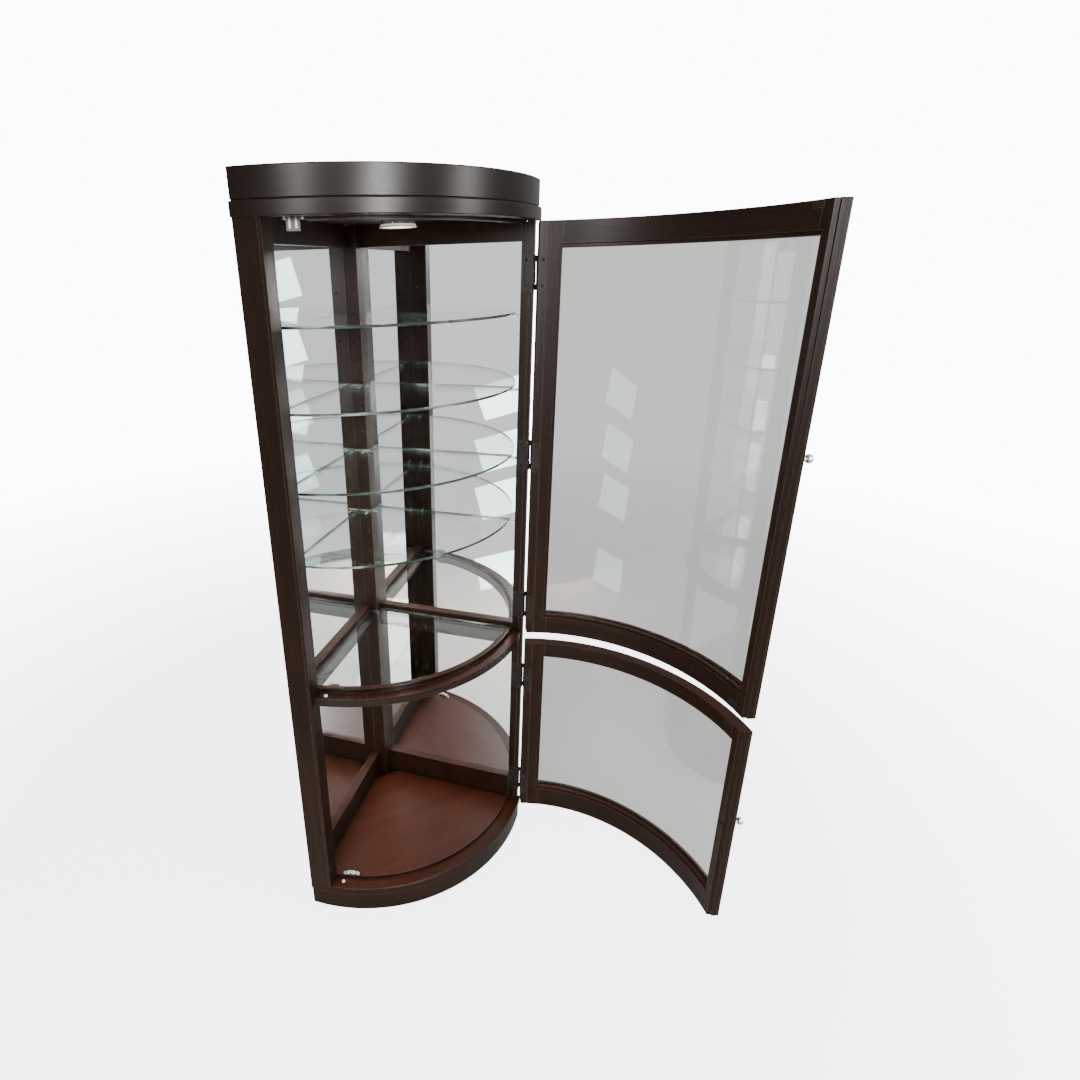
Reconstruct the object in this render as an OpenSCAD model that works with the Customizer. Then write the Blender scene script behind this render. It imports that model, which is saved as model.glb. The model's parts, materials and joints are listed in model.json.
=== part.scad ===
// Quarter-round corner display cabinet: two mirrored walls, glass shelves and two curved glass doors.
//
// Every part is drawn in plan axes: x runs from the rear corner along the left wall, y along the
// right wall, z is up. cabinet_axes() turns those axes so that the front of the case faces -Y.

/* [Cabinet] */
// Radius of the quarter-round front, from the corner where the walls meet
radius = 483; // [460:1:520]
// Overall height
height = 1829; // [1800:1:1900]
// Height of the underside of the crown
crown_low = 1744; // [1730:1:1750]
// Height of the top face of the mid deck
deck_top = 700; // [690:1:710]
// Height of the plinth below the base deck
plinth_height = 58; // [40:1:58]

/* [Doors] */
// Angle that both doors stand open at rest
door_open = 109; // [0:1:115]
// Thickness of the door frames
door_depth = 28; // [26:1:30]
// Width of the door stile on the hinge side
hinge_stile_width = 52; // [40:1:60]
// Width of the door stile on the latch side
latch_stile_width = 29; // [26:1:40]
// Thickness of the curved door glass
door_glass = 4; // [3:1:5]
// Length of each butt hinge
hinge_length = 76; // [60:1:90]

/* [Shelves] */
// Underside of the lowest shelf
first_shelf = 1014.5; // [1000:0.5:1030]
// Distance from one shelf to the next
shelf_pitch = 175.5; // [160:0.5:176]
// Thickness of a shelf
shelf_glass = 6; // [5:1:8]

/* [Hidden] */
$fn = 96;

wood = [0.20, 0.11, 0.08];
wood_red = [0.34, 0.16, 0.11];
bronze = [0.16, 0.14, 0.12];
glass_tint = [0.75, 0.88, 0.83, 0.4];
mirror_tint = [0.80, 0.82, 0.82];
steel = [0.72, 0.72, 0.72];

// Heights
base_top = plinth_height + 20;
floor_top = base_top + 7;
deck_low = deck_top - 33;
ledge_top = deck_top - 11.5;
lip_top = crown_low + 28;
ceiling_low = crown_low + 8;
ceiling_thickness = 12;
header_height = 6;
header_start = 122;
wall_top = height - 14;
bottom_rail_top = base_top + 87;
deck_rail_low = deck_low - 27;
deck_rail_top = deck_top + 12;
top_rail_low = crown_low - 42;

// Radii of the curved front
board = 22;
lip_radius = radius + 5.6;
plinth_radius = radius - 4;
plinth_side = 18;
plinth_side_end = sqrt(pow(plinth_radius - board, 2) - pow(plinth_side, 2));
deck_radius = radius - 9;
door_outer = radius - 5;
door_inner = door_outer - door_depth;
stop_radius = door_inner - 2;
deck_opening = stop_radius - 19;
shelf_radius = stop_radius - 16;
deck_arm = 32;
glass_rest = 6;

// Posts, in plan
rear_post = 45;
left_post_back = radius - 38;
left_post_width = 60;
right_post_width = 17;
right_post_back = radius - 35;
right_post_front = radius - 6;
rebate = 8;

// Wall panels, in plan
back_gap = 1;
mirror_back = 4;
rail_back = 8;
rail_front = 20;

// Doors, in plan, drawn closed
hinge_edge = right_post_width + 2.6;
latch_edge = left_post_width + 2.3;
opening_hinge = hinge_edge + hinge_stile_width;
opening_latch = latch_edge + latch_stile_width;
glass_rebate = 8;
glass_outer = door_outer - 11;
glass_inner = glass_outer - door_glass;
bead_inner = door_inner + 4;
upper_door = [deck_low + 29, crown_low - 1.5];
upper_opening = [upper_door[0] + 58, upper_door[1] - 57];
lower_door = [base_top + 6, deck_low - 6];
lower_opening = [lower_door[0] + 71, lower_door[1] - 44];

// Hinges
hinge_at = [right_post_width - 4.5, right_post_front];
barrel_radius = 4.5;
pin_radius = 1.5;
pin_clearance = 0.05;
leaf = 1.3;
mortise_gap = 3;
door_leaf_inner = door_inner - leaf;
door_leaf_reach = 14;
knuckle = 14;
upper_hinges = [771, 1200, 1634];
lower_hinges = [161, 538];
screw_radius = 1.5;
screw_head = 3.2;
screw_offset = hinge_length / 2 - 10;
door_screw_at = hinge_edge + 9.5;
door_screw_angle = acos(door_screw_at / door_inner);
frame_screw_at = right_post_back + 12;

// Latch side: catches, strikes and knobs share two bearings from the left wall
latch_bearing = asin(100 / stop_radius);
catch_depth = 12;
catch_width = 27;
catch_height = 8;
catch_ear = 3;
seat_gap = 0.02;
strike_height = 13;
strike_halfwidth = 1.7;
knob_bearing = asin((latch_edge + 13) / door_outer);
upper_knob_height = 1290;
lower_knob_height = 384;
knob_screw_radius = 2;

// Shelves and their pins
shelf_count = 4;
pin_hole_depth = 12;
shelf_pin_radius = 2.5;
pin_hole_radius = 2.55;
pin_pitch = shelf_pitch / 3;
pin_rows = 14;
first_pin = first_shelf - shelf_pin_radius - 3 * pin_pitch;
rear_pin_at = 33;
rear_hole_depth = 9;
left_pin_at = 30;
right_pin_at = 12.5;
shelf_inset = 9.5;

// Lamp
lamp_at = [230, 230];
lamp_radius = 40;
lamp_flange_radius = 43;
lamp_drop = 20;
cord_radius = 2.5;
eps = 1;

// ---- shared shapes ----

module cabinet_axes() {
    rotate([0, 0, 225]) children();
}

// Swap the two walls
module other_wall() {
    mirror([1, -1, 0]) children();
}

module quarter_ring(r_in, r_out, low, high) {
    rotate_extrude(angle = 90) translate([r_in, low]) square([r_out - r_in, high - low]);
}

module quarter_disc(r, low, high, inset) {
    intersection() {
        translate([0, 0, low]) cylinder(r = r, h = high - low);
        translate([inset, inset, low]) cube([r, r, high - low]);
    }
}

module left_post_block(low, high) {
    translate([left_post_back, 0, low]) cube([radius - left_post_back, left_post_width, high - low]);
}

module right_post_block(low, high) {
    translate([0, right_post_back, low])
        cube([right_post_width, right_post_front - right_post_back, high - low]);
}

module rear_post_block(low, high, grow = 0) {
    translate([0, 0, low]) cube([rear_post + grow, rear_post + grow, high - low]);
}

module post_blocks(low, high) {
    left_post_block(low, high);
    right_post_block(low, high);
    rear_post_block(low, high);
}

// A board or panel that lies along the left wall
module wall_board(from, to, front, back, low, high) {
    translate([from, back, low]) cube([to - from, front - back, high - low]);
}

// ---- base ----

module plinth_front() {
    color(wood) cabinet_axes() quarter_ring(plinth_radius - board, plinth_radius, 0, plinth_height);
}

module plinth_left() {
    color(wood) cabinet_axes()
        wall_board(0, plinth_side_end, plinth_side, 0, 0, plinth_height);
}

module plinth_right() {
    color(wood) cabinet_axes() other_wall()
        wall_board(plinth_side, plinth_side_end, plinth_side, 0, 0, plinth_height);
}

module base_deck() {
    nose = 4;
    color(wood) cabinet_axes() rotate_extrude(angle = 90) {
        translate([0, plinth_height]) square([radius, base_top - plinth_height - nose]);
        translate([0, plinth_height]) square([radius - nose, base_top - plinth_height]);
        intersection() {
            translate([radius - nose, base_top - nose]) circle(r = nose);
            translate([radius - nose, base_top - nose]) square(nose);
        }
    }
}

// The floor of the lower compartment, with its rear corner cut off in front of the post
module floor_panel() {
    clip = 2 * rear_post + 10;
    color(wood_red) cabinet_axes() difference() {
        quarter_disc(stop_radius - 1, base_top, floor_top, rail_front);
        post_blocks(base_top - eps, floor_top + eps);
        translate([0, 0, base_top - eps]) linear_extrude(floor_top - base_top + 2 * eps)
            polygon([[0, 0], [clip, 0], [0, clip]]);
    }
}

// ---- posts ----

module pin_holes(depth) {
    for (row = [0 : pin_rows - 1])
        translate([0, 0, first_pin + row * pin_pitch])
            rotate([0, 90, 0]) cylinder(r = pin_hole_radius, h = depth);
}

module left_front_post() {
    bead = 2;
    color(wood) cabinet_axes() difference() {
        left_post_block(base_top, crown_low);
        translate([left_post_back - eps, -eps, base_top - eps])
            cube([rebate + eps, rail_back + eps, crown_low]);
        translate([radius - bead, left_post_width - 4 * bead, base_top - eps])
            cube([bead + eps, bead, crown_low]);
        translate([left_post_back, left_pin_at, 0]) pin_holes(pin_hole_depth);
    }
}

module right_front_post() {
    color(wood) cabinet_axes() difference() {
        right_post_block(base_top, crown_low);
        translate([-eps, right_post_back - eps, base_top - eps])
            cube([rail_back + eps, rebate + eps, crown_low]);
        translate([right_post_width - 1.5, right_post_front - 11, base_top - eps])
            cube([1.5 + eps, 2, crown_low]);
        for (z = concat(upper_hinges, lower_hinges)) {
            translate([hinge_at[0], hinge_at[1], z - hinge_length / 2 - mortise_gap])
                cylinder(r = barrel_radius + 0.8, h = hinge_length + 2 * mortise_gap);
            translate([right_post_width - leaf - 0.1, right_post_back + 2.5, z - hinge_length / 2 - 1])
                cube([leaf + eps, right_post_front, hinge_length + 2]);
            frame_screws_at(z, screw_radius, 11);
        }
        translate([right_pin_at, right_post_back, 0]) rotate([0, 0, 90]) pin_holes(pin_hole_depth);
    }
}

module rear_corner_post() {
    color(wood) cabinet_axes() difference() {
        rear_post_block(base_top, ceiling_low);
        panel_rebate();
        other_wall() panel_rebate();
        rear_pin_row();
        other_wall() rear_pin_row();
    }
}

module panel_rebate() {
    translate([rear_post - rebate, -eps, base_top - eps])
        cube([rebate + eps, rail_back + eps, crown_low]);
}

module rear_pin_row() {
    translate([rear_post - rear_hole_depth, rear_pin_at, 0]) pin_holes(rear_hole_depth + eps);
}

// ---- rails, deck and crown ----

module rail(end, low, high) {
    wall_board(rear_post, end, rail_front, rail_back, low, high);
}

module bottom_rail_left() {
    color(wood) cabinet_axes() rail(left_post_back, base_top, bottom_rail_top);
}

module bottom_rail_right() {
    color(wood) cabinet_axes() other_wall() rail(right_post_back, base_top, bottom_rail_top);
}

module deck_rail_left() {
    color(wood) cabinet_axes() rail(left_post_back, deck_rail_low, deck_rail_top);
}

module deck_rail_right() {
    color(wood) cabinet_axes() other_wall() rail(right_post_back, deck_rail_low, deck_rail_top);
}

module top_rail_left() {
    color(wood) cabinet_axes() rail(left_post_back, top_rail_low, wall_top);
}

module top_rail_right() {
    color(wood) cabinet_axes() other_wall() rail(right_post_back, top_rail_low, wall_top);
}

// The deck steps up behind the upper door, and its glass lies in a rebate
module deck_frame() {
    color(wood_red) cabinet_axes() difference() {
        rotate_extrude(angle = 90) polygon([
            [0, deck_low], [deck_radius, deck_low], [deck_radius, ledge_top],
            [stop_radius, ledge_top], [stop_radius, deck_top], [0, deck_top]]);
        deck_wall_cut();
        other_wall() deck_wall_cut();
        quarter_disc(deck_opening, deck_low - eps, deck_top + eps, deck_arm);
        quarter_disc(deck_opening + glass_rest, deck_top - shelf_glass, deck_top + eps,
                     deck_arm - glass_rest);
        post_blocks(deck_low - eps, deck_top + eps);
    }
}

module deck_wall_cut() {
    translate([-eps, -eps, deck_low - eps])
        cube([radius, rail_front + eps, deck_top - deck_low + 2 * eps]);
}

module deck_glass() {
    play = 0.5;
    lap = glass_rest - play;
    color(glass_tint) cabinet_axes() difference() {
        quarter_disc(deck_opening + lap, deck_top - shelf_glass, deck_top, deck_arm - lap);
        rear_post_block(deck_low, deck_top + eps, play);
    }
}

module crown_lip() {
    color(wood) cabinet_axes() rotate_extrude(angle = 90) polygon([
        [radius - board, crown_low], [lip_radius - 1, crown_low], [lip_radius, crown_low + 1],
        [lip_radius, lip_top - 1], [lip_radius - 1, lip_top], [radius - board, lip_top]]);
}

module crown_frieze() {
    color(wood) cabinet_axes() rotate_extrude(angle = 90) polygon([
        [radius - board, lip_top], [radius - 3, lip_top], [radius - 3, lip_top + 2.5],
        [radius, lip_top + 2.5], [radius, height - 1.5], [radius - 1.5, height],
        [radius - board, height]]);
}

module ceiling_panel() {
    color(wood) cabinet_axes() difference() {
        quarter_disc(radius - board, ceiling_low, ceiling_low + ceiling_thickness, rail_front);
        translate([lamp_at[0], lamp_at[1], ceiling_low - eps])
            cylinder(r = cord_radius + 1.5, h = ceiling_thickness + 2 * eps);
    }
}

// Stop strip behind the top of the upper door; it ends short of the catch
module door_header() {
    low = crown_low - header_height;
    color(wood) cabinet_axes() difference() {
        quarter_ring(stop_radius - 20, stop_radius, low, crown_low);
        post_blocks(low - eps, crown_low + eps);
        translate([0, 0, low - eps]) cube([radius, header_start, header_height + 2 * eps]);
        translate([0, 0, low - eps]) cube([rail_front, radius, header_height + 2 * eps]);
    }
}

// ---- wall panels ----

module mirror_panel(end, low, high) {
    color(mirror_tint)
        wall_board(rear_post - rebate, end + rebate, rail_back, mirror_back, low, high);
}

module back_panel(end) {
    color(wood)
        wall_board(rear_post - rebate, end + rebate, mirror_back, back_gap, base_top, wall_top);
}

module upper_mirror_left() {
    cabinet_axes() mirror_panel(left_post_back, deck_low, crown_low);
}

module upper_mirror_right() {
    cabinet_axes() other_wall() mirror_panel(right_post_back, deck_low, crown_low);
}

module lower_mirror_left() {
    cabinet_axes() mirror_panel(left_post_back, base_top, deck_low);
}

module lower_mirror_right() {
    cabinet_axes() other_wall() mirror_panel(right_post_back, base_top, deck_low);
}

module back_panel_left() {
    cabinet_axes() back_panel(left_post_back);
}

module back_panel_right() {
    cabinet_axes() other_wall() back_panel(right_post_back);
}

// ---- shelves ----

// Shelves are numbered from the top
module shelf(number) {
    low = first_shelf + (shelf_count - number) * shelf_pitch;
    color(glass_tint) cabinet_axes() difference() {
        quarter_disc(shelf_radius, low, low + shelf_glass, shelf_inset);
        rear_post_block(low - eps, low + shelf_glass + eps, 3);
    }
}

module shelf_1() {
    shelf(1);
}

module shelf_2() {
    shelf(2);
}

module shelf_3() {
    shelf(3);
}

module shelf_4() {
    shelf(4);
}

module shelf_pin(inside, outside) {
    translate([-inside, 0, 0]) rotate([0, 90, 0])
        cylinder(r = shelf_pin_radius, h = inside + outside);
}

module shelf_pins() {
    grip = 10;
    rear_grip = 8;
    color(steel) cabinet_axes()
        for (level = [0 : shelf_count - 1])
            translate([0, 0, first_shelf - shelf_pin_radius + level * shelf_pitch]) {
                translate([rear_post, rear_pin_at, 0]) shelf_pin(rear_grip, 12);
                other_wall() translate([rear_post, rear_pin_at, 0]) shelf_pin(rear_grip, 12);
                translate([left_post_back, left_pin_at, 0]) shelf_pin(22, grip);
                translate([right_pin_at, right_post_back, 0]) rotate([0, 0, 90]) shelf_pin(24, grip);
            }
}

// ---- lamp ----

module at_lamp(z) {
    cabinet_axes() translate([lamp_at[0], lamp_at[1], z]) children();
}

module lamp_housing() {
    color(steel) at_lamp(ceiling_low - lamp_drop) difference() {
        cylinder(r = lamp_radius, h = lamp_drop);
        translate([0, 0, -eps]) cylinder(r = lamp_radius - 3, h = lamp_drop - 1);
        cylinder(r = cord_radius + 0.5, h = lamp_drop + eps);
    }
}

module lamp_flange() {
    color(steel) at_lamp(ceiling_low - lamp_drop - 2.5) difference() {
        cylinder(r = lamp_flange_radius, h = 2.5);
        translate([0, 0, -eps]) cylinder(r = lamp_radius - 2, h = 5);
    }
}

module lamp_lens() {
    color([1, 0.95, 0.85]) at_lamp(ceiling_low - lamp_drop - 1.5)
        cylinder(r = lamp_radius - 3.1, h = 4);
}

// The cord rises through the ceiling and runs above it to the rear corner
module lamp_cord() {
    run = norm(lamp_at) - 24;
    rise = ceiling_thickness + 10;
    color([0.1, 0.1, 0.1]) cabinet_axes() {
        translate([lamp_at[0], lamp_at[1], ceiling_low - 4]) cylinder(r = cord_radius, h = rise + 4);
        translate([lamp_at[0], lamp_at[1], ceiling_low + rise]) rotate([0, 0, 225]) {
            sphere(r = cord_radius);
            rotate([0, 90, 0]) cylinder(r = cord_radius, h = run);
        }
    }
}

// ---- hinges on the frame ----

module hinge_cylinder(r, low, high) {
    translate([hinge_at[0], hinge_at[1], low]) cylinder(r = r, h = high - low);
}

module frame_screws_at(z, r, depth) {
    for (side = [-1, 1])
        translate([right_post_width, frame_screw_at, z + side * screw_offset])
            rotate([0, -90, 0]) cylinder(r = r, h = depth);
}

// Leaf let into the side of the post, with the long middle knuckle
module frame_leaf(z) {
    low = z - hinge_length / 2;
    high = low + hinge_length;
    play = 0.3;
    difference() {
        union() {
            translate([right_post_width - leaf, right_post_back + 3, low])
                cube([leaf, right_post_front - right_post_back - 3, hinge_length]);
            hinge_cylinder(barrel_radius, low + knuckle + play, high - knuckle - play);
        }
        hinge_cylinder(barrel_radius + 2 * play, low - eps, low + knuckle + play);
        hinge_cylinder(barrel_radius + 2 * play, high - knuckle - play, high + eps);
        hinge_cylinder(pin_radius + pin_clearance, low - eps, high + eps);
        frame_screws_at(z, screw_radius, 5);
    }
}

module frame_hinge_leaves() {
    color(bronze) cabinet_axes()
        for (z = concat(upper_hinges, lower_hinges)) frame_leaf(z);
}

module hinge_pins() {
    color(bronze) cabinet_axes()
        for (z = concat(upper_hinges, lower_hinges)) {
            hinge_cylinder(pin_radius, z - hinge_length / 2, z + hinge_length / 2 + 1);
            hinge_cylinder(pin_radius + 1.5, z + hinge_length / 2, z + hinge_length / 2 + 1.5);
        }
}

module frame_hinge_screws() {
    head = 0.7;
    color(bronze) cabinet_axes()
        for (z = concat(upper_hinges, lower_hinges)) {
            frame_screws_at(z, screw_radius, 10);
            translate([head, 0, 0]) frame_screws_at(z, screw_head, head);
        }
}

// ---- catches and bumpers ----

// Magnetic catch with a screw ear on each side. It stands on the plane z = low, or hangs from it.
module catch_body(low, size, thickness, up) {
    ear = 5;
    rotate([0, 0, latch_bearing]) translate([stop_radius - 1, 0, low])
        mirror([0, 0, up ? 0 : 1]) translate([0, 0, seat_gap]) {
            translate([-catch_depth, -catch_width / 2, 0]) cube([catch_depth, catch_width, size]);
            for (side = [-1, 1])
                translate([-catch_depth / 2, side * (catch_width / 2 + ear - 1), 0])
                    difference() {
                        cylinder(r = ear, h = thickness);
                        translate([0, 0, -eps]) cylinder(r = 1.6, h = thickness + 2 * eps);
                    }
        }
}

module door_catches() {
    color([0.08, 0.08, 0.08]) cabinet_axes() {
        catch_body(ceiling_low, ceiling_low - crown_low + 24, ceiling_low - crown_low + 14, false);
        catch_body(deck_top, catch_height, catch_ear, true);
        catch_body(deck_low, catch_height, catch_ear, false);
        catch_body(floor_top, catch_height, catch_ear, true);
    }
}

module door_bumpers() {
    color("white") cabinet_axes() rotate([0, 0, asin(85 / (door_inner + 12))])
        for (ledge = [ledge_top, base_top])
            translate([door_inner + 12, 0, ledge + seat_gap]) cylinder(r = 4.5, h = 2.5);
}

// ---- doors, drawn closed and swung open by swing() ----

module swing() {
    cabinet_axes() translate([hinge_at[0], hinge_at[1], 0]) rotate([0, 0, door_open])
        translate([-hinge_at[0], -hinge_at[1], 0]) children();
}

// The stretch of a ring between two faces: x >= from_hinge and y >= from_latch
module door_arc(r_in, r_out, from_hinge, from_latch, low, high) {
    intersection() {
        quarter_ring(r_in, r_out, low, high);
        translate([from_hinge, from_latch, low]) cube([radius, radius, high - low]);
    }
}

// The space inside the frame that the glass and beads fill
module glass_space(opening) {
    door_arc(door_inner - eps, glass_outer, opening_hinge - glass_rebate,
             opening_latch - glass_rebate, opening[0] - glass_rebate, opening[1] + glass_rebate);
}

module hinge_stile(door, opening, hinges) {
    color(wood) swing() difference() {
        door_arc(door_inner, door_outer, hinge_edge, latch_edge, door[0], door[1]);
        translate([opening_hinge, 0, door[0] - eps]) cube([radius, radius, height]);
        glass_space(opening);
        quarter_ring_groove(hinge_edge + 17, door);
        for (z = hinges) {
            translate([hinge_edge - eps, 0, z - hinge_length / 2]) cube([eps + 0.05, radius, hinge_length]);
            door_screws_at(z, screw_radius, 12);
        }
    }
}

// A narrow upright groove in the inner face of a stile
module quarter_ring_groove(from_hinge, door) {
    depth = 1.5;
    width = 2;
    intersection() {
        quarter_ring(door_inner - eps, door_inner + depth, door[0] - eps, door[1] + eps);
        translate([from_hinge, 0, door[0] - eps]) cube([width, radius, height]);
    }
}

// The latch edge has a rebate along its inner side and a groove along its outer side
module latch_stile(door, opening, knob_height) {
    color(wood) swing() difference() {
        door_arc(door_inner, door_outer, hinge_edge, latch_edge, door[0], door[1]);
        translate([0, opening_latch, door[0] - eps]) cube([radius, radius, height]);
        glass_space(opening);
        quarter_ring_strip(door_inner - eps, door_inner + 9, latch_edge + 4, door);
        quarter_ring_strip(door_outer - 6, door_outer - 4, latch_edge + 1.5, door);
        knob_axis(knob_height) translate([0, 0, -door_depth - 4])
            cylinder(r = knob_screw_radius, h = door_depth + 8);
    }
}

module quarter_ring_strip(r_in, r_out, to_latch, door) {
    intersection() {
        quarter_ring(r_in, r_out, door[0] - eps, door[1] + eps);
        translate([0, 0, door[0] - eps]) cube([radius, to_latch, height]);
    }
}

module door_rail(door, opening, top) {
    low = top ? opening[1] : door[0];
    high = top ? door[1] : opening[0];
    color(wood) swing() difference() {
        door_arc(door_inner, door_outer, opening_hinge, opening_latch, low, high);
        glass_space(opening);
    }
}

module door_glass_pane(opening) {
    lap = glass_rebate - 0.5;
    color(glass_tint) swing()
        door_arc(glass_inner, glass_outer, opening_hinge - lap, opening_latch - lap,
                 opening[0] - lap, opening[1] + lap);
}

// Two straight beads beside the glass and two curved ones above and below it
module glass_beads(opening) {
    lap = glass_rebate - 0.5;
    color(wood) swing() {
        difference() {
            door_arc(bead_inner, glass_inner, opening_hinge - lap, opening_latch - lap,
                     opening[0] - lap, opening[1] + lap);
            translate([opening_hinge, opening_latch, opening[0]])
                cube([radius, radius, opening[1] - opening[0]]);
            for (z = [opening[0], opening[1]])
                translate([0, 0, z - 0.2]) cube([radius, radius, 0.4]);
        }
    }
}

module door_screws_at(z, r, depth) {
    for (side = [-1, 1])
        translate([0, 0, z + side * screw_offset])
            rotate([0, 0, door_screw_angle]) translate([door_inner - leaf, 0, 0])
                rotate([0, 90, 0]) cylinder(r = r, h = depth);
}

// Leaf that wraps the edge of the stile on to its inner face, with the two short knuckles
module door_leaf(z) {
    low = z - hinge_length / 2;
    bridge = right_post_front + 1.8;
    difference() {
        union() {
            translate([hinge_edge - leaf, door_leaf_inner, low])
                cube([leaf, bridge + leaf - door_leaf_inner, hinge_length]);
            door_leaf_face(low);
            for (start = [low, low + hinge_length - knuckle]) {
                hinge_cylinder(barrel_radius, start, start + knuckle);
                translate([hinge_at[0], bridge, start]) cube([hinge_edge - hinge_at[0], leaf, knuckle]);
            }
        }
        hinge_cylinder(pin_radius + pin_clearance, low - eps, low + hinge_length + eps);
        door_screws_at(z, screw_radius, 5);
    }
}

module door_leaf_face(low) {
    difference() {
        door_arc(door_leaf_inner, door_inner, hinge_edge - leaf, latch_edge, low, low + hinge_length);
        translate([hinge_edge + door_leaf_reach, 0, low - eps]) cube([radius, radius, hinge_length + 2 * eps]);
    }
}

module door_leaves(hinges) {
    color(bronze) swing() for (z = hinges) door_leaf(z);
}

module strikes(door) {
    color(bronze) swing()
        for (low = [door[0] + 10, door[1] - 1 - strike_height])
            rotate([0, 0, latch_bearing - strike_halfwidth])
                rotate_extrude(angle = 2 * strike_halfwidth)
                    translate([door_inner - 1, low]) square([1, strike_height]);
}

// The z axis of the children points straight out of the door face
module knob_axis(z) {
    rotate([0, 0, knob_bearing]) translate([door_outer, 0, z]) rotate([0, 90, 0]) children();
}

module knob(z) {
    color(steel) swing() knob_axis(z) difference() {
        rotate_extrude() polygon([
            [0, 0.2], [6, 0.2], [6, 2], [4, 4], [4, 12], [8, 15], [9.5, 18], [9.5, 21],
            [8, 23.5], [0, 24.5]]);
        translate([0, 0, -eps]) cylinder(r = knob_screw_radius, h = 10);
    }
}

module door_screws(hinges, knob_height) {
    head = 0.6;
    color(bronze) swing() {
        for (z = hinges) {
            door_screws_at(z, screw_radius, 11);
            door_screw_heads(z, head);
        }
        knob_axis(knob_height) translate([0, 0, -door_depth]) {
            cylinder(r = knob_screw_radius, h = door_depth + 9);
            translate([0, 0, -1.6]) cylinder(r = 4, h = 1.6);
        }
    }
}

module door_screw_heads(z, head) {
    for (side = [-1, 1])
        translate([0, 0, z + side * screw_offset])
            rotate([0, 0, door_screw_angle]) translate([door_leaf_inner - head - seat_gap, 0, 0])
                rotate([0, 90, 0]) cylinder(r = screw_head, h = head);
}

module upper_hinge_stile() {
    hinge_stile(upper_door, upper_opening, upper_hinges);
}

module upper_latch_stile() {
    latch_stile(upper_door, upper_opening, upper_knob_height);
}

module upper_top_rail() {
    door_rail(upper_door, upper_opening, true);
}

module upper_bottom_rail() {
    door_rail(upper_door, upper_opening, false);
}

module upper_door_glass() {
    door_glass_pane(upper_opening);
}

module upper_glass_beads() {
    glass_beads(upper_opening);
}

module upper_door_leaves() {
    door_leaves(upper_hinges);
}

module upper_strikes() {
    strikes(upper_door);
}

module upper_knob() {
    knob(upper_knob_height);
}

module upper_door_screws() {
    door_screws(upper_hinges, upper_knob_height);
}

module lower_hinge_stile() {
    hinge_stile(lower_door, lower_opening, lower_hinges);
}

module lower_latch_stile() {
    latch_stile(lower_door, lower_opening, lower_knob_height);
}

module lower_top_rail() {
    door_rail(lower_door, lower_opening, true);
}

module lower_bottom_rail() {
    door_rail(lower_door, lower_opening, false);
}

module lower_door_glass() {
    door_glass_pane(lower_opening);
}

module lower_glass_beads() {
    glass_beads(lower_opening);
}

module lower_door_leaves() {
    door_leaves(lower_hinges);
}

module lower_strikes() {
    strikes(lower_door);
}

module lower_knob() {
    knob(lower_knob_height);
}

module lower_door_screws() {
    door_screws(lower_hinges, lower_knob_height);
}

plinth_front();
plinth_left();
plinth_right();
base_deck();
floor_panel();
left_front_post();
right_front_post();
rear_corner_post();
bottom_rail_left();
bottom_rail_right();
deck_rail_left();
deck_rail_right();
top_rail_left();
top_rail_right();
deck_frame();
deck_glass();
crown_lip();
crown_frieze();
ceiling_panel();
door_header();
upper_mirror_left();
upper_mirror_right();
lower_mirror_left();
lower_mirror_right();
back_panel_left();
back_panel_right();
shelf_1();
shelf_2();
shelf_3();
shelf_4();
shelf_pins();
lamp_housing();
lamp_flange();
lamp_lens();
lamp_cord();
frame_hinge_leaves();
hinge_pins();
frame_hinge_screws();
door_catches();
door_bumpers();
upper_hinge_stile();
upper_latch_stile();
upper_top_rail();
upper_bottom_rail();
upper_door_glass();
upper_glass_beads();
upper_door_leaves();
upper_strikes();
upper_knob();
upper_door_screws();
lower_hinge_stile();
lower_latch_stile();
lower_top_rail();
lower_bottom_rail();
lower_door_glass();
lower_glass_beads();
lower_door_leaves();
lower_strikes();
lower_knob();
lower_door_screws();
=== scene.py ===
import json
import math

import bmesh
import bpy
from mathutils import Matrix, Vector


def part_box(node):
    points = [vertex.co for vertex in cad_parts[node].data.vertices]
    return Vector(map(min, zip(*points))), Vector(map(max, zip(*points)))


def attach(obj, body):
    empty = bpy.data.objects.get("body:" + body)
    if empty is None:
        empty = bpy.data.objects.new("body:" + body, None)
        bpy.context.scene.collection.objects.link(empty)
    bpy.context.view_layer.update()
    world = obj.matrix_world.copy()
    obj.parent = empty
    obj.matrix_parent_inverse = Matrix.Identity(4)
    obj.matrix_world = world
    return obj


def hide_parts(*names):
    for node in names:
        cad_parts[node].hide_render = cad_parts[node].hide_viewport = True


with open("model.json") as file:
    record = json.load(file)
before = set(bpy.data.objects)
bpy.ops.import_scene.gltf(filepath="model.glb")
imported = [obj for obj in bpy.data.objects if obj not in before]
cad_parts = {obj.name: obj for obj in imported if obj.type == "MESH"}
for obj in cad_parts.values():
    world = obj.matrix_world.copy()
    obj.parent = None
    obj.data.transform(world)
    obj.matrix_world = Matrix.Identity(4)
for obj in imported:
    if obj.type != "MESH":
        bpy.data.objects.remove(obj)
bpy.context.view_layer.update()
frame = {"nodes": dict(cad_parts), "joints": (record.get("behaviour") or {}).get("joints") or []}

# ---------------------------------------------------------------------------
# Driving dimensions, in metres, in the frame of the CAD model:
# the rear corner is the origin, the two walls run at 45 degrees, the front faces -Y.

MM = 0.001
DOOR_OPEN = math.radians(109)
FRONT_RADIUS = 483 * MM
LEFT_WALL = Vector((-1, -1, 0)).normalized()
RIGHT_WALL = Vector((1, -1, 0)).normalized()
UP = Vector((0, 0, 1))
HINGE = Vector(frame["joints"][0]["pos_m"])


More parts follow.
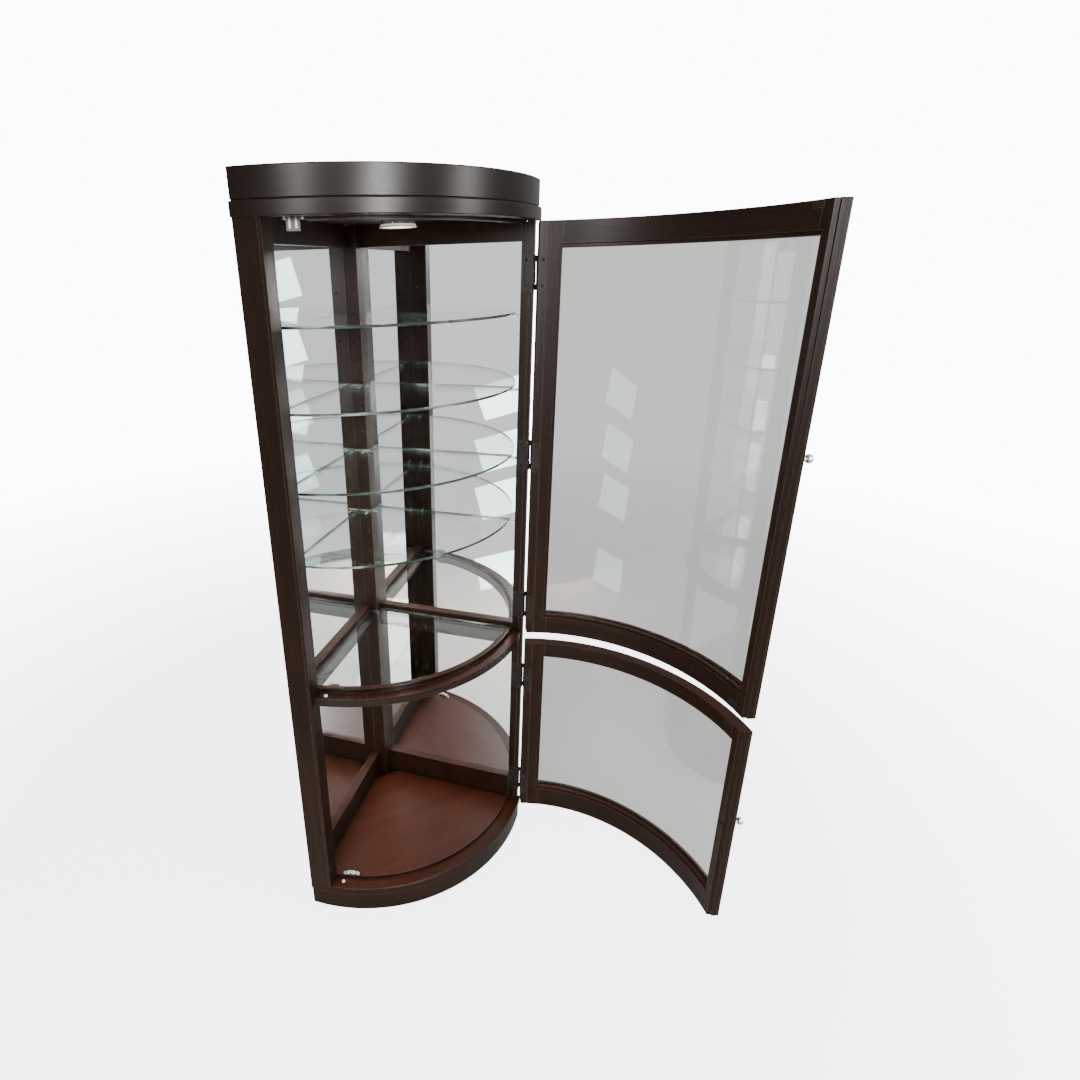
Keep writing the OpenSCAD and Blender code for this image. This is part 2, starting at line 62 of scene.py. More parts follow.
def plan(a, b, z=0.0):
    """A point given by its distances along the left and right walls."""
    return LEFT_WALL * a + RIGHT_WALL * b + UP * z


def door_centre():
    """Centre of the curved doors where they stand open: the corner, turned about the hinge."""
    axis = Vector((HINGE.x, HINGE.y, 0))
    return axis + Matrix.Rotation(DOOR_OPEN, 3, "Z") @ (-axis)


DOOR_CENTRE = door_centre()


# ---------------------------------------------------------------------------
# Shader helpers


class Shader:
    """A material's node tree, with short calls to add and link nodes."""

    def __init__(self, name, world=None):
        self.material = world or bpy.data.materials.new(name)
        self.material.use_nodes = True
        self.tree = self.material.node_tree
        self.tree.nodes.clear()
        self.output = self.tree.nodes.new("ShaderNodeOutput" + ("World" if world else "Material"))

    def add(self, kind, inputs=None, **props):
        node = self.tree.nodes.new("ShaderNode" + kind)
        for key, value in props.items():
            setattr(node, key, value)
        for key, value in (inputs or {}).items():
            self.feed(node.inputs[key], value)
        return node

    def feed(self, socket, value):
        if isinstance(value, bpy.types.NodeSocket):
            self.tree.links.new(value, socket)
        elif isinstance(value, bpy.types.Node):
            self.tree.links.new(value.outputs[0], socket)
        else:
            socket.default_value = value

    def math(self, operation, a, b=0.0, clamp=False):
        node = self.add("Math", {0: a, 1: b}, operation=operation)
        node.use_clamp = clamp
        return node.outputs[0]

    def ramp(self, factor, stops):
        node = self.add("ValToRGB", {0: factor})
        elements = node.color_ramp.elements
        while len(elements) < len(stops):
            elements.new(0.5)
        for element, (position, colour) in zip(elements, stops):
            element.position = position
            element.color = colour if len(colour) == 4 else (*colour, 1)
        return node.outputs[0]

    def mask(self, factor, low, high):
        node = self.add("MapRange", {0: factor, 1: low, 2: high})
        return node.outputs[0]

    def mix(self, factor, a, b, blend="MIX"):
        node = self.add("Mix", data_type="RGBA", blend_type=blend)
        self.feed(node.inputs[0], factor)
        self.feed(node.inputs[6], a if not isinstance(a, tuple) else (*a, 1))
        self.feed(node.inputs[7], b if not isinstance(b, tuple) else (*b, 1))
        return node.outputs[2]

    def noise(self, vector, scale, detail=4.0, roughness=0.55, distortion=0.0):
        inputs = {"Scale": scale, "Detail": detail, "Roughness": roughness, "Distortion": distortion}
        node = self.add("TexNoise", inputs)
        if vector is not None:
            self.feed(node.inputs["Vector"], vector)
        return node.outputs[0]

    def scaled(self, vector, scale, turn=0.0):
        return self.add("Mapping", {0: vector, 2: (0, 0, turn), 3: scale}).outputs[0]

    def bump(self, height, strength, distance):
        return self.add("Bump", {"Strength": strength, "Distance": distance, "Height": height}).outputs[0]

    def finish(self, surface):
        self.feed(self.output.inputs["Surface"], surface)
        return self.material


def object_vector(shader):
    return shader.add("TexCoord").outputs["Object"]


def polar_vector(shader, centre):
    """Across the curve, along the curve and up, for a board bent about a centre."""
    parts = shader.add("SeparateXYZ", {0: object_vector(shader)})
    x = shader.math("SUBTRACT", parts.outputs[0], centre[0])
    y = shader.math("SUBTRACT", parts.outputs[1], centre[1])
    squares = shader.math("ADD", shader.math("MULTIPLY", x, x), shader.math("MULTIPLY", y, y))
    distance = shader.math("SQRT", squares)
    angle = shader.math("ARCTAN2", x, shader.math("MULTIPLY", y, -1.0))
    along = shader.math("MULTIPLY", angle, FRONT_RADIUS)
    return shader.add("CombineXYZ", {0: distance, 1: along, 2: parts.outputs[2]}).outputs[0]


# ---------------------------------------------------------------------------
# Wood. The stain is dark and nearly even; the grain shows as fine streaks and short pores.

CORNER_REACH = 0.018
ACROSS = 34.0
ALONG = 1.7
GRAIN = {
    "up": lambda s: s.scaled(object_vector(s), (ACROSS, ACROSS, ALONG)),
    "left": lambda s: s.scaled(object_vector(s), (ALONG, ACROSS, ACROSS), math.radians(135)),
    "right": lambda s: s.scaled(object_vector(s), (ACROSS, ALONG, ACROSS), math.radians(135)),
    "side": lambda s: s.scaled(object_vector(s), (ALONG, ACROSS, ACROSS)),
    "curve": lambda s: s.scaled(polar_vector(s, (0, 0)), (ACROSS, ALONG, ACROSS)),
    "door": lambda s: s.scaled(polar_vector(s, DOOR_CENTRE), (ACROSS, ALONG, ACROSS)),
}
# The floor tone and the red tone are painted light for faces that look up: the same stain, lighter and
# redder as if lit from above.
DARK_STAIN = ((0.0068, 0.0027, 0.0013), (0.0116, 0.0044, 0.0020), (0.0185, 0.0069, 0.0031))
FLOOR_LIT_TOP_TONE = ((0.047, 0.0105, 0.0040), (0.058, 0.0130, 0.0049), (0.070, 0.0160, 0.0060))
CROWN_STAIN = ((0.0050, 0.0026, 0.0014), (0.0082, 0.0040, 0.0021), (0.0125, 0.0060, 0.0030))
LIT_TOP_TONE = ((0.030, 0.0075, 0.0030), (0.046, 0.0115, 0.0046), (0.062, 0.0165, 0.0068))
# Painted highlight: a light tone along the wood's sharp edges, as if they caught the light
PAINTED_EDGE_HIGHLIGHT = (0.10, 0.074, 0.058)
# Dark tone of the pores, also used as the painted shade in corners
PORE_AND_SHADE = (0.003, 0.0015, 0.001)


def stained(s, streaks, stain):
    return s.ramp(streaks, [(0.30, stain[0]), (0.5, stain[1]), (0.72, stain[2])])


def wood(name, grain, gloss=0.36, sheen=0.09, top=LIT_TOP_TONE, upright=DARK_STAIN, relief=0.2):
    """Dark stain on upright faces; faces that look up get a redder, lighter painted lit tone, as if the
    light fell on them.
    """
    s = Shader(name)
    vector = GRAIN[grain](s)
    streaks = s.noise(vector, 1.0, 7.0, 0.62, 0.35)
    cloud = s.noise(object_vector(s), 5.5, 3.0, 0.5)
    pores = s.noise(s.scaled(vector, (5.5, 5.5, 5.5)), 1.0, 2.0, 0.5)
    mottle = s.noise(object_vector(s), 420.0, 2.0)
    facing = s.add("SeparateXYZ", {0: s.add("NewGeometry").outputs["True Normal"]}).outputs[2]
    # Painted light: faces that look up take the lighter, redder lit tone, upright faces the dark stain.
    colour = s.mix(s.mask(facing, 0.5, 0.95), stained(s, streaks, upright), stained(s, streaks, top))
    colour = s.mix(s.mask(cloud, 0.3, 0.8), colour, s.mix(0.35, colour, PORE_AND_SHADE))
    pore_mask = s.mask(pores, 0.62, 0.74)
    colour = s.mix(s.math("MULTIPLY", pore_mask, 0.5), colour, PORE_AND_SHADE)
    # Painted shade: darker in corners, creases and on risers, where less light reaches.
    painted_corner_shade = s.add("AmbientOcclusion", {"Distance": CORNER_REACH}, samples=4).outputs["AO"]
    colour = s.mix(s.mask(painted_corner_shade, 0.35, 0.9), s.mix(0.75, colour, PORE_AND_SHADE), colour)
    # Painted highlight: a light line along the sharp edges.
    colour = s.mix(s.math("MULTIPLY", edge_mask(s, 0.0015), 0.75), colour, PAINTED_EDGE_HIGHLIGHT)
    height = s.math("SUBTRACT", s.math("ADD", streaks, s.math("MULTIPLY", mottle, 0.35)), pore_mask)
    rough = s.math("ADD", s.math("MULTIPLY", mottle, 0.14), gloss - 0.06)
    return s.finish(s.add("BsdfPrincipled", {
        "Base Color": colour, "Roughness": rough, "Specular IOR Level": sheen,
        "Normal": s.bump(height, relief, 0.0005)}))


def edge_mask(s, radius):
    """1 on sharp edges: the wood paints a highlight there, the metal shows wear."""
    rounded = s.add("Bevel", {"Radius": radius}, samples=4).outputs[0]
    flat = s.add("NewGeometry").outputs["True Normal"]
    dot = s.add("VectorMath", {0: rounded, 1: flat}, operation="DOT_PRODUCT").outputs["Value"]
    return s.mask(dot, 0.995, 0.86)


# ---------------------------------------------------------------------------
# Glass and mirror

GLASS_INDEX = 1.52


def fresnel_glass(s, tint, reflect, normal=None):
    """Thin clear glass: it lets light straight through and reflects more at a glancing angle."""
    inside = s.add("NewGeometry").outputs["Backfacing"]
    index = s.math("ADD", GLASS_INDEX, s.math("MULTIPLY", inside, 1 / GLASS_INDEX - GLASS_INDEX))
    fresnel = s.add("Fresnel", {"IOR": index})
    gloss = s.add("BsdfGlossy", {"Color": (1, 1, 1, 1), "Roughness": 0.012})
    if normal is not None:
        s.feed(gloss.inputs["Normal"], normal)
        s.feed(fresnel.inputs["Normal"], normal)
    factor = s.math("MULTIPLY", fresnel, reflect, clamp=True)
    clear = s.add("BsdfTransparent", {"Color": tint})
    return s.add("MixShader", {0: factor, 1: clear, 2: gloss}).outputs[0]


def shelf_glass():
    """Clear from above, green through its polished edge."""
    s = Shader("shelf_glass")
    smears = s.noise(object_vector(s), 9.0, 3.0)
    tint = s.mix(s.mask(smears, 0.35, 0.7), (0.965, 0.980, 0.972), (0.940, 0.960, 0.950))
    pane = fresnel_glass(s, tint, 1.25)
    # The edge is the glass's own dark green; the light patches along it are painted highlights.
    edge_glint_noise = s.noise(s.scaled(object_vector(s), (9, 9, 60)), 1.0, 3.0)
    edge_colour = s.ramp(edge_glint_noise, [(0.42, (0.010, 0.020, 0.016)), (0.56, (0.05, 0.085, 0.07)),
                                      (0.68, (0.30, 0.38, 0.35))])
    edge = s.add("BsdfPrincipled", {"Base Color": edge_colour, "Roughness": 0.1, "Specular IOR Level": 0.6})
    upright = s.add("SeparateXYZ", {0: s.add("NewGeometry").outputs["True Normal"]}).outputs[2]
    is_edge = s.mask(s.math("ABSOLUTE", upright), 0.9, 0.6)
    return s.finish(s.add("MixShader", {0: is_edge, 1: pane, 2: edge.outputs[0]}).outputs[0])


def door_glass():
    s = Shader("door_glass")
    vector = object_vector(s)
    waves = s.noise(s.scaled(vector, (3, 3, 0.8)), 1.0, 1.0)
    dust = s.noise(vector, 240.0, 2.0)
    tint = s.mix(s.mask(dust, 0.55, 0.75), (0.90, 0.915, 0.905), (0.86, 0.875, 0.865))
    return s.finish(fresnel_glass(s, tint, 1.2, s.bump(waves, 0.02, 0.01)))


def mirror():
    s = Shader("mirror")
    smears = s.noise(s.scaled(object_vector(s), (7, 7, 2.5)), 1.0, 4.0)
    tint = s.mix(s.mask(smears, 0.3, 0.75), (0.94, 0.955, 0.95), (0.89, 0.905, 0.90))
    rough = s.math("MULTIPLY", smears, 0.014)
    return s.finish(s.add("BsdfPrincipled", {"Base Color": tint, "Metallic": 1.0, "Roughness": rough}))


# ---------------------------------------------------------------------------
# Metal, plastic and small parts


def metal(name, colour, dull, rough, scratch=0.12, grain=(300, 300, 300), metallic=1.0, sheen=0.5):
    s = Shader(name)
    vector = s.scaled(object_vector(s), grain)
    fine = s.noise(vector, 1.0, 4.0)
    stains = s.noise(object_vector(s), 60.0, 3.0)
    tone = s.mix(s.mask(stains, 0.35, 0.7), colour, dull)
    tone = s.mix(s.math("MULTIPLY", edge_mask(s, 0.0008), 0.2), tone, (0.42, 0.38, 0.33))
    roughness = s.math("ADD", s.math("MULTIPLY", fine, scratch), rough)
    return s.finish(s.add("BsdfPrincipled", {
        "Base Color": tone, "Metallic": metallic, "Roughness": roughness, "Specular IOR Level": sheen,
        "Normal": s.bump(fine, 0.15, 0.0002)}))


def plastic(name, colour, worn, rough):
    s = Shader(name)
    texture = s.noise(object_vector(s), 700.0, 3.0)
    tone = s.mix(s.mask(s.noise(object_vector(s), 80.0), 0.35, 0.7), colour, worn)
    return s.finish(s.add("BsdfPrincipled", {
        "Base Color": tone, "Roughness": rough, "Normal": s.bump(texture, 0.25, 0.0002)}))


def lamp_glow():
    """The warm frosted lens, brightest in the middle where the bulb sits."""
    s = Shader("lamp_glow")
    low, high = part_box("lamp_lens")
    middle = (low + high) / 2
    radius = (high.x - low.x) / 2
    offset = s.add("VectorMath", {0: object_vector(s), 1: tuple(middle)}, operation="DISTANCE")
    glow = s.mask(offset.outputs["Value"], radius, 0.0)
    ripple = s.noise(object_vector(s), 400.0, 2.0)
    strength = s.math("ADD", s.math("MULTIPLY", glow, 5.0), s.math("MULTIPLY", ripple, 0.8))
    return s.finish(s.add("BsdfPrincipled", {
        "Base Color": (0.9, 0.86, 0.78, 1), "Roughness": 0.3, "Emission Color": (1.0, 0.86, 0.62, 1),
        "Emission Strength": strength}))


BOARD_TONE = ((0.020, 0.011, 0.0065), (0.034, 0.018, 0.011), (0.050, 0.028, 0.017))
MATERIALS = {
    "wood_up": wood("wood_up", "up"),
    "wood_left": wood("wood_left", "left"),
    "wood_right": wood("wood_right", "right"),
    "wood_curve": wood("wood_curve", "curve"),
    "wood_crown": wood("wood_crown", "curve", 0.32, 0.085, upright=CROWN_STAIN, relief=0.04),
    "wood_door": wood("wood_door", "door"),
    "wood_floor": wood("wood_floor", "side", 0.36, 0.16, FLOOR_LIT_TOP_TONE),
    "wood_deck": wood("wood_deck", "curve", 0.26, 0.15),
    "wood_ceiling": wood("wood_ceiling", "side", 0.45),
    "board": wood("board", "up", 0.62, 0.3, upright=BOARD_TONE),
    "shelf_glass": shelf_glass(),
    "door_glass": door_glass(),
    "mirror": mirror(),
    "bronze": metal("bronze", (0.010, 0.008, 0.007), (0.005, 0.0045, 0.004), 0.42, metallic=0.0, sheen=0.13),
    "leaf": metal("leaf", (0.015, 0.011, 0.008), (0.010, 0.0075, 0.006), 0.42, metallic=0.0, sheen=0.09),
    "screw": metal("screw", (0.002, 0.002, 0.002), (0.001, 0.001, 0.001), 0.8, metallic=0.0, sheen=0.0),
    "steel": metal("steel", (0.62, 0.61, 0.59), (0.48, 0.47, 0.45), 0.22),
    "zinc": metal("zinc", (0.26, 0.26, 0.25), (0.18, 0.18, 0.17), 0.42),
    "chrome": metal("chrome", (0.80, 0.78, 0.75), (0.66, 0.63, 0.60), 0.18, 0.05),
    "knob": metal("knob", (0.66, 0.64, 0.60), (0.50, 0.48, 0.44), 0.22, 0.15, (60, 60, 700)),
    "black": plastic("black", (0.018, 0.015, 0.013), (0.035, 0.030, 0.026), 0.42),
    "brown": plastic("brown", (0.030, 0.013, 0.008), (0.045, 0.020, 0.012), 0.4),
    "grey": plastic("grey", (0.030, 0.029, 0.027), (0.020, 0.019, 0.018), 0.5),
    "white": plastic("white", (0.78, 0.78, 0.75), (0.62, 0.62, 0.58), 0.5),
    "lamp_glow": lamp_glow(),
}
MATERIAL_OF = {
    "plinth_front": "wood_curve", "plinth_left": "wood_left", "plinth_right": "wood_right",
    "base_deck": "wood_curve", "floor_panel": "wood_floor",
    "left_front_post": "wood_up", "right_front_post": "wood_up", "rear_corner_post": "wood_up",
    "bottom_rail_left": "wood_left", "bottom_rail_right": "wood_right",
    "deck_rail_left": "wood_left", "deck_rail_right": "wood_right",
    "top_rail_left": "wood_left", "top_rail_right": "wood_right",
    "deck_frame": "wood_deck", "deck_glass": "shelf_glass",
    "crown_lip": "wood_crown", "crown_frieze": "wood_crown",
    "ceiling_panel": "wood_ceiling", "door_header": "wood_curve",
    "upper_mirror_left": "mirror", "upper_mirror_right": "mirror",
    "lower_mirror_left": "mirror", "lower_mirror_right": "mirror",
    "back_panel_left": "board", "back_panel_right": "board",
    "shelf_1": "shelf_glass", "shelf_2": "shelf_glass", "shelf_3": "shelf_glass", "shelf_4": "shelf_glass",
    "shelf_pins": "steel", "lamp_housing": "chrome", "lamp_flange": "chrome", "lamp_lens": "lamp_glow",
    "lamp_cord": "black", "frame_hinge_leaves": "bronze", "hinge_pins": "bronze",
    "frame_hinge_screws": "bronze", "door_catches": "black", "door_bumpers": "white",
}
DOOR_MATERIAL_OF = {
    "hinge_stile": "wood_up", "latch_stile": "wood_up", "top_rail": "wood_door", "bottom_rail": "wood_door",
    "door_glass": "door_glass", "glass_beads": "wood_door", "door_leaves": "leaf", "strikes": "bronze",
    "knob": "knob", "door_screws": "bronze",
}
for door in ("upper", "lower"):
    for part, material in DOOR_MATERIAL_OF.items():
        MATERIAL_OF[f"{door}_{part}"] = material


def paint(obj, material):
    obj.data.materials.clear()
    obj.data.materials.append(MATERIALS[material])


SAME_POINT = 0.02 * MM
SHARP_ANGLE = math.radians(35)
WOOD_EDGE = 0.8 * MM
FINE_EDGE = 0.3 * MM
FINEST_EDGE = 0.05 * MM


def soften(obj, width):
    """Round the sharp edges a little, so that they catch the light, and keep the faces flat."""
    weld = obj.modifiers.new("weld", "WELD")
    weld.merge_threshold = SAME_POINT
    bevel = obj.modifiers.new("edges", "BEVEL")
    bevel.width = width
    bevel.segments = 2
    bevel.limit_method = "ANGLE"
    bevel.angle_limit = SHARP_ANGLE
    bevel.use_clamp_overlap = True
    normals = obj.modifiers.new("normals", "WEIGHTED_NORMAL")
    normals.weight = 90


for name, obj in frame["nodes"].items():
    paint(obj, MATERIAL_OF[name])
    for polygon in obj.data.polygons:
        polygon.use_smooth = True
    soften(obj, WOOD_EDGE if MATERIAL_OF[name].startswith("wood") else FINE_EDGE)

# ---------------------------------------------------------------------------
# Mesh helpers for the pieces that are finished here

UP_TURN = Matrix.Identity(3)


def solids(node):
    """The corner points of each separate solid of a CAD node, in a fixed order."""
    bm = bmesh.new()
    bm.from_mesh(frame["nodes"][node].data)
    bmesh.ops.remove_doubles(bm, verts=bm.verts, dist=SAME_POINT)
    found = []
    seen = set()
    for start in bm.verts:
        if start.index in seen:
            continue
        group = []
        stack = [start]
        seen.add(start.index)
        while stack:
            vertex = stack.pop()
            group.append(vertex.co.copy())
            for edge in vertex.link_edges:
                other = edge.other_vert(vertex)
                if other.index not in seen:
                    seen.add(other.index)
                    stack.append(other)
        found.append(group)
    bm.free()
    return found


def extent(points, axis):
    reach = [point.dot(axis) for point in points]
    return min(reach), max(reach)


def add_lathe(bm, profile, segments, place, turn=UP_TURN, rib=None):
    """Turn a list of (radius, height) points about the local z axis. rib(angle) swells the radius."""
    rings = []
    for radius, height in profile:
        ring = []
        steps = segments if radius > 0 else 1
        for step in range(steps):
            angle = math.tau * step / segments
            swollen = radius + (rib(angle) if rib and radius > 0 else 0)
            local = Vector((swollen * math.cos(angle), swollen * math.sin(angle), height))
            ring.append(bm.verts.new(place + turn @ local))
        rings.append(ring)
    for low, high in zip(rings, rings[1:]):
        for step in range(segments):
            after = (step + 1) % segments
            if len(low) == 1:
                bm.faces.new((low[0], high[after], high[step]))
            elif len(high) == 1:
                bm.faces.new((low[step], low[after], high[0]))
            else:
                bm.faces.new((low[step], low[after], high[after], high[step]))


def add_block(bm, low, high, place, turn):
    """A box between two local corners."""
    sides = list(zip(low, high))
    corners = [Vector((x, y, z)) for z in sides[2] for y in sides[1] for x in sides[0]]
    made = [bm.verts.new(place + turn @ corner) for corner in corners]
    for face in ((0, 2, 3, 1), (4, 5, 7, 6), (0, 1, 5, 4), (2, 6, 7, 3), (0, 4, 6, 2), (1, 3, 7, 5)):
        bm.faces.new([made[index] for index in face])


def make_piece(name, bm, material, body, edge=FINE_EDGE):
    bmesh.ops.recalc_face_normals(bm, faces=bm.faces)
    mesh = bpy.data.meshes.new(name)
    bm.to_mesh(mesh)
    bm.free()
    obj = bpy.data.objects.new(name, mesh)
    bpy.context.scene.collection.objects.link(obj)
    for polygon in mesh.polygons:
        polygon.use_smooth = True
    paint(obj, material)
    soften(obj, edge)
    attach(obj, body)
    return obj


# ---------------------------------------------------------------------------
# Lamp: a ribbed bright housing with a rolled flange, and a domed lens with fine rings


def disc_place(node):
    """Middle of the underside, radius and height of a round CAD node."""
    low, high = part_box(node)
    middle = Vector(((low.x + high.x) / 2, (low.y + high.y) / 2, low.z))
    return middle, (high.x - low.x) / 2, high.z - low.z


def rolled(radius, height, tube, start, stop, steps=8):
    """Points of an arc of a small tube at a given radius, for a rolled edge."""
    points = []
    for step in range(steps + 1):
        angle = math.radians(start + (stop - start) * step / steps)
        points.append((radius + tube * math.cos(angle), height + tube * math.sin(angle)))
    return points


LAMP_INSET = 3 * MM
LAMP_WALL = 3 * MM
RIM_LIFT = 0.4 * MM
RIB_COUNT = 30
RIB_DEPTH = 1.1 * MM
RIB_INSET = 1.6 * MM
SHADE_STEP = 1 * MM
LENS_LIFT = 1 * MM
LENS_SAG = 0.9 * MM
LENS_RINGS = 14
LENS_RIPPLE = 0.22 * MM


def make_shade():
    foot, rim, lip = disc_place("lamp_flange")
    _, body, tall = disc_place("lamp_housing")
    rim -= LAMP_INSET
    body -= LAMP_INSET
    bore = body - LAMP_WALL
    ribbed = body - RIB_INSET
    top = lip + tall
    tube = lip / 2
    bm = bmesh.new()
    rolled_rim = rolled(rim - tube, tube, tube, -90, 90)
    flange = [(bore, RIM_LIFT)] + rolled_rim + [(ribbed, lip), (ribbed, lip + SHADE_STEP)]
    add_lathe(bm, flange, 120, foot)
    skirt = [(ribbed, lip), (ribbed, top - SHADE_STEP), (bore, top)]
    skirt += [(bore, top - SHADE_STEP), (bore, RIM_LIFT)]
    add_lathe(bm, skirt, 240, foot, rib=lambda angle: RIB_DEPTH * math.cos(RIB_COUNT * angle))
    shade = make_piece("lamp_shade", bm, "chrome", "cabinet", FINEST_EDGE)
    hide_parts("lamp_housing", "lamp_flange")


def make_lens():
    foot, radius, depth = disc_place("lamp_lens")
    dome = [(0, -LENS_SAG)]
    for ring in range(1, LENS_RINGS + 1):
        share = ring / LENS_RINGS
        dome.append((radius * share, LENS_RIPPLE * (ring % 2) - LENS_SAG * (1 - share ** 2)))
    dome += [(radius, depth), (0, depth)]
    bm = bmesh.new()
    add_lathe(bm, dome, 64, foot + UP * LENS_LIFT)
    lens = make_piece("lamp_lens_dome", bm, "lamp_glow", "cabinet", FINEST_EDGE)
    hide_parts("lamp_lens")


# ---------------------------------------------------------------------------
# Screws: a domed head with a cross recess, and a threaded shank


THREAD_PITCH = 1.2 * MM
HEAD_HEIGHT = 1.1 * MM
SHANK_OF_HEAD = 0.45
RECESS_OF_HEAD = 0.55
RECESS_ARM = 0.26


def cross_cutter(size):
    bm = bmesh.new()
    for long_way in ((1, RECESS_ARM), (RECESS_ARM, 1)):
        reach = Vector((long_way[0] * size, long_way[1] * size, size))
        add_block(bm, (-reach.x, -reach.y, -0.35 * size), (reach.x, reach.y, size), Vector(), UP_TURN)
    mesh = bpy.data.meshes.new("cutter")
    bm.to_mesh(mesh)
    bm.free()
    cutter = bpy.data.objects.new("cutter", mesh)
    bpy.context.scene.collection.objects.link(cutter)
    return cutter


def screw_mesh(head, head_height, shank, length):
    """A screw whose head rests on z = 0 and whose tip points down."""
    profile = [(0, -length)]
    turns = int(length / THREAD_PITCH) - 1
    for turn in range(turns):
        low = -length + THREAD_PITCH * (turn + 0.5)
        taper = min(1, (turn + 1) / 3)
        profile += [(0.78 * shank * taper, low), (shank * taper, low + THREAD_PITCH / 2)]
    profile += [(shank, -0.3 * MM), (head, 0), (head, 0.35 * head_height)]
    profile += [(0.8 * head, 0.85 * head_height), (0.4 * head, head_height), (0, head_height)]
    bm = bmesh.new()
    add_lathe(bm, profile, 24, Vector())
    bmesh.ops.recalc_face_normals(bm, faces=bm.faces)
    mesh = bpy.data.meshes.new("screw")
    bm.to_mesh(mesh)
    bm.free()
    blank = bpy.data.objects.new("screw_blank", mesh)
    bpy.context.scene.collection.objects.link(blank)
    cutter = cross_cutter(RECESS_OF_HEAD * head)
    cutter.location.z = head_height
    cut = blank.modifiers.new("recess", "BOOLEAN")
    cut.object = cutter
    cut.solver = "EXACT"
    cut.use_self = True
    bpy.context.view_layer.update()
    made = bpy.data.meshes.new_from_object(blank.evaluated_get(bpy.context.evaluated_depsgraph_get()))
    bpy.data.objects.remove(blank)
    bpy.data.objects.remove(cutter)
    return made


def make_screws(name, node, body, facing):
    """Rebuild every screw of a CAD node. facing(centre) is the way its head looks."""
    bm = bmesh.new()
    for points in solids(node):
        centre = sum(points, Vector()) / len(points)
        out = facing(centre)
        low, high = extent(points, out)
        top = [point for point in points if point.dot(out) > high - 0.1 * MM]
        middle = sum(top, Vector()) / len(top)
        head = max((point - middle).length for point in top)
        mesh = screw_mesh(head, HEAD_HEIGHT, SHANK_OF_HEAD * head, high - low - HEAD_HEIGHT)
        mesh.transform(out.to_track_quat("Z", "Y").to_matrix().to_4x4())
        mesh.transform(Matrix.Translation(middle - out * (HEAD_HEIGHT * 0.6)))
        bm.from_mesh(mesh)
        bpy.data.meshes.remove(mesh)
    screws = make_piece(name, bm, "screw", body, FINEST_EDGE)
    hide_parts(node)


def towards_door_centre(centre):
    return (DOOR_CENTRE - Vector((centre.x, centre.y, 0))).normalized()


# ---------------------------------------------------------------------------
# Catches: a case with pole plates in its front, on a bracket with two screw ears; the plates share the
# bracket's finish

EAR = 5 * MM
CASE_EDGE = 0.5 * MM
CASE_STEP = 1 * MM
CASE_BACK = 5 * MM
BACK_INSET = 1.5 * MM
POLE_DEPTH = 3 * MM
POLE_WIDTH = 0.3
POLE_STARTS = (-0.62, 0.32)
POLE_HEIGHTS = (0.2, 0.85)
EAR_HOLE = (0.32, 0.6)
# Name, case, bracket, whether it hangs, and the height of its ears, from the floor up
CATCHES = (
    ("catch_floor", "steel", "steel", False, 3 * MM),
    ("catch_deck_under", "brown", "brown", True, 3 * MM),
    ("catch_deck_top", "brown", "brown", False, 3 * MM),
    ("catch_ceiling", "grey", "zinc", True, 12 * MM),
)


def make_catch(points, name, case_material, bracket_material, hangs, ear_height):
    centre = sum(points, Vector()) / len(points)
    outward = Vector((centre.x, centre.y, 0)).normalized()
    turn = Matrix((outward, UP.cross(outward), UP)).transposed()
    back, front = extent(points, outward)
    side = extent(points, turn.col[1])
    low, high = extent(points, UP)
    half = (side[1] - side[0]) / 2 - 2 * EAR + CASE_STEP
    rear = (back + front) / 2 + CASE_STEP
    seat = high if hangs else low
    rise = -1 if hangs else 1
    tall = high - low

    def block(bm, depths, widths, heights):
        """A block from its depths, widths and heights above the catch's own seat."""
        bottom, top = sorted((seat + rise * heights[0], seat + rise * heights[1]))
        add_block(bm, (depths[0], widths[0], bottom), (depths[1], widths[1], top), Vector(), turn)

    bm = bmesh.new()
    block(bm, (rear - CASE_BACK, rear), (BACK_INSET - half, half - BACK_INSET), (0, tall))
    block(bm, (rear, front - CASE_STEP), (-half, half), (CASE_STEP, tall))
    case = make_piece(name, bm, case_material, "cabinet", CASE_EDGE)

    bm = bmesh.new()
    for start in POLE_STARTS:
        widths = (start * half, (start + POLE_WIDTH) * half)
        block(bm, (front - POLE_DEPTH, front), widths, [share * tall for share in POLE_HEIGHTS])
    bottom, top = sorted((seat, seat + rise * ear_height))
    top_hole, bottom_hole = [share * EAR for share in (EAR_HOLE if hangs else reversed(EAR_HOLE))]
    for way in (-1, 1):
        middle = turn @ Vector(((back + front) / 2, way * (half + EAR - CASE_STEP), 0))
        ring = [(EAR, bottom), (EAR, top), (top_hole, top), (bottom_hole, bottom)]
        add_lathe(bm, ring + ring[:1], 28, middle)
    bracket = make_piece(f"{name}_bracket", bm, bracket_material, "cabinet", FINE_EDGE)
    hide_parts("door_catches")
    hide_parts("door_catches")


def make_catches():
    groups = sorted(solids("door_catches"), key=lambda points: extent(points, UP)[0])
    for points, choice in zip(groups, CATCHES):
        make_catch(points, *choice)


make_shade()
make_lens()
make_screws("frame_screws", "frame_hinge_screws", "cabinet", lambda centre: LEFT_WALL)
make_screws("upper_screws", "upper_door_screws", "upper_door", towards_door_centre)
make_screws("lower_screws", "lower_door_screws", "lower_door", towards_door_centre)
make_catches()

# ---------------------------------------------------------------------------
# Camera, floor and light

CAMERA_AT = Vector((-0.593, -1.679, 1.645))
CAMERA_YAW = math.radians(-25.49)
CAMERA_PITCH = math.radians(90 - 20.88)
CAMERA_ROLL = math.radians(-1.47)
CAMERA_LENS = 21.61
CAMERA_SHIFT = (0.1034, -0.0205)
CASE_MIDDLE = Vector((0, -0.3, 0.9))


